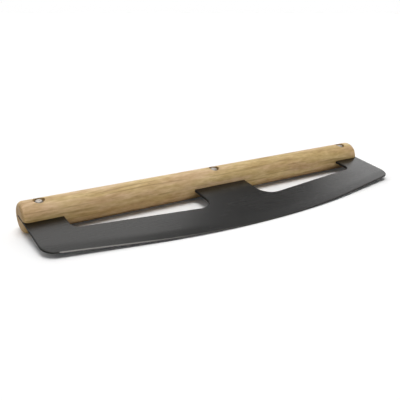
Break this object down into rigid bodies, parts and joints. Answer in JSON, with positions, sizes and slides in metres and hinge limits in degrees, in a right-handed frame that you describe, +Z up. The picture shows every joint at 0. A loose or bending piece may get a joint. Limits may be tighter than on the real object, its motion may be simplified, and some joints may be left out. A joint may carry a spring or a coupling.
{
  "type": "rocking pizza knife",
  "caption": "Rocking pizza knife: a wide curved steel blade whose tangs sit in slots of a round wooden bar handle, held by cutlery rivets.",
  "frame": {"origin": "on the table under the middle of the footprint, the knife lying on its side on the bar and the middle of the edge", "axes": "+X along the bar to the right as seen from the cutting edge, +Y from the cutting edge towards the bar, +Z up"},
  "size_m": [0.406, 0.1084, 0.029],
  "materials": {
    "blade_steel": "satin",
    "handle_wood": "oiled",
    "rivet_steel": "polished"
  },
  "bodies": {
    "root": {"blade": "blade_steel", "handle": "handle_wood", "left_rivet_sleeve": "rivet_steel", "left_rivet_pin": "rivet_steel", "middle_rivet_sleeve": "rivet_steel", "middle_rivet_pin": "rivet_steel", "right_rivet_sleeve": "rivet_steel", "right_rivet_pin": "rivet_steel"}
  },
  "joints": []
}
